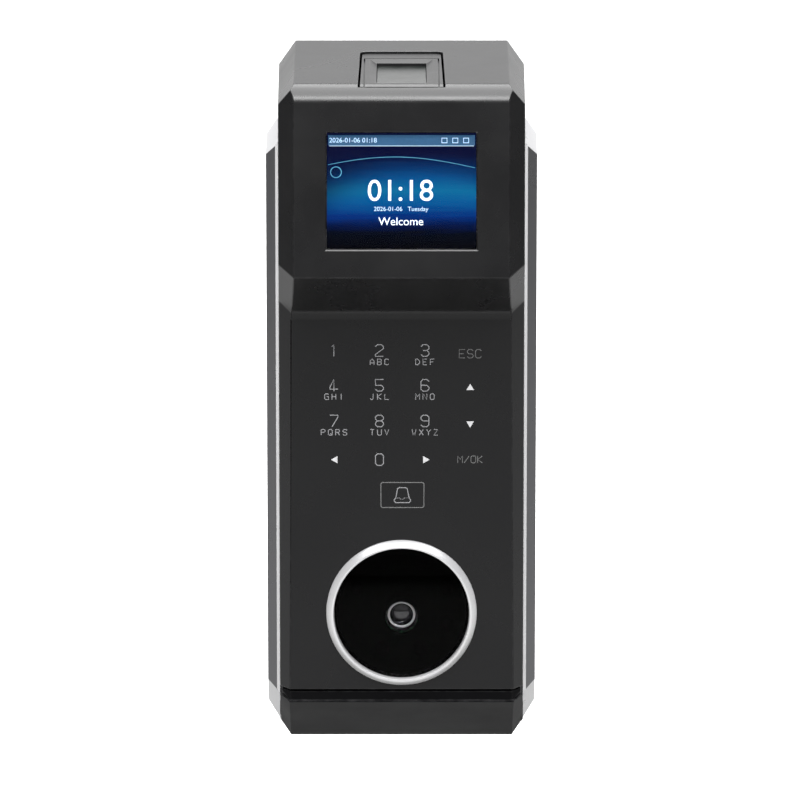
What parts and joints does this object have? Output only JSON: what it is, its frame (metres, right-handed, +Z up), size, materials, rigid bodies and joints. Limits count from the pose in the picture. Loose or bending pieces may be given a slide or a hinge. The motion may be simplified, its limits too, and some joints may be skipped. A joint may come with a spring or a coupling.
{
  "type": "fingerprint scanner terminal",
  "caption": "Wall-hung access terminal with a tilted display head, finger reader on top, touch keypad and round palm reader, on a hooked steel plate.",
  "frame": {"origin": "centre of the wall plate's four screw holes, on the wall plane", "axes": "+Z up, +Y into the wall, the terminal faces -Y, +X to the right of a person facing it"},
  "size_m": [0.1072, 0.092, 0.28],
  "materials": {
    "zinc_steel": "zinc-plated sheet steel",
    "screw_steel": "plated screw steel",
    "silver_paint": "satin silver lacquer on moulded plastic",
    "black_plastic": "black ABS with a fine satin texture",
    "display_glass": "clear hard-coated window",
    "foam": "closed-cell foam",
    "lcd": "lit colour display",
    "tin": "tinned sheet",
    "flex_film": "amber polyimide film",
    "clear_acrylic": "clear acrylic",
    "circuit_board": "green solder mask",
    "bezel_metal": "bright satin aluminium",
    "palm_glass": "black infrared-pass window, polished",
    "module_plastic": "black moulding",
    "lamp_epoxy": "dark clear epoxy",
    "lens_glass": "coated lens",
    "prism_glass": "optical glass with a soft coating",
    "battery_steel": "nickel steel can",
    "relay_plastic": "blue moulding",
    "white_nylon": "natural nylon",
    "green_nylon": "green nylon",
    "rubber": "soft black rubber"
  },
  "bodies": {
    "plate": {"wall_plate": "zinc_steel"},
    "terminal": {"securing_screw": "screw_steel", "rear_housing": "silver_paint", "front_housing": "black_plastic", "base_cover": "black_plastic", "housing_screws": "screw_steel", "display_glass": "display_glass", "display_foam": "foam", "lcd_module": "lcd", "lcd_bracket": "tin", "display_screws": "screw_steel", "lcd_flex": "flex_film", "keypad_light_guide": "clear_acrylic", "keypad_board": "circuit_board", "card_antenna": "circuit_board", "keypad_flex": "flex_film", "palm_bezel": "bezel_metal", "palm_glass": "palm_glass", "palm_cup": "module_plastic", "palm_ir_board": "circuit_board", "palm_ir_leds": "lamp_epoxy", "palm_barrel": "module_plastic", "palm_lens": "lens_glass", "palm_camera_board": "circuit_board", "palm_screws": "screw_steel", "palm_flex": "flex_film", "finger_guide": "black_plastic", "finger_prism": "prism_glass", "finger_sensor_housing": "module_plastic", "finger_sensor_board": "circuit_board", "finger_flex": "flex_film", "main_board": "circuit_board", "board_screws": "screw_steel", "processor_shield": "tin", "clock_battery": "battery_steel", "battery_holder": "module_plastic", "lock_relay": "relay_plastic", "flex_connectors": "white_nylon", "terminal_blocks": "green_nylon", "ethernet_jack": "tin", "usb_socket": "tin", "usb_board": "circuit_board", "speaker": "module_plastic", "tamper_switch": "module_plastic", "reset_switch": "tin"},
    "tamper": {"tamper_plunger": "white_nylon"},
    "reset": {"reset_button": "module_plastic"},
    "usb_cover": {"usb_flap": "rubber"}
  },
  "joints": [
    {"name": "terminal_lift", "type": "slide", "parent": "plate", "child": "terminal", "axis": [0, 0, 1], "range_m": [0, 0.008]},
    {"name": "tamper_press", "type": "slide", "parent": "terminal", "child": "tamper", "axis": [0, -1, 0], "range_m": [0, 0.0015], "stiffness_N_per_m": 300, "springref_m": -0.001},
    {"name": "reset_press", "type": "slide", "parent": "terminal", "child": "reset", "axis": [0, -1, 0], "range_m": [0, 0.0003], "stiffness_N_per_m": 1000, "springref_m": -0.0003},
    {"name": "usb_flap_hinge", "type": "hinge", "parent": "terminal", "child": "usb_cover", "pos_m": [-0.024, -0.0092, -0.1393], "axis": [1, 0, 0], "range_deg": [0, 100]}
  ]
}
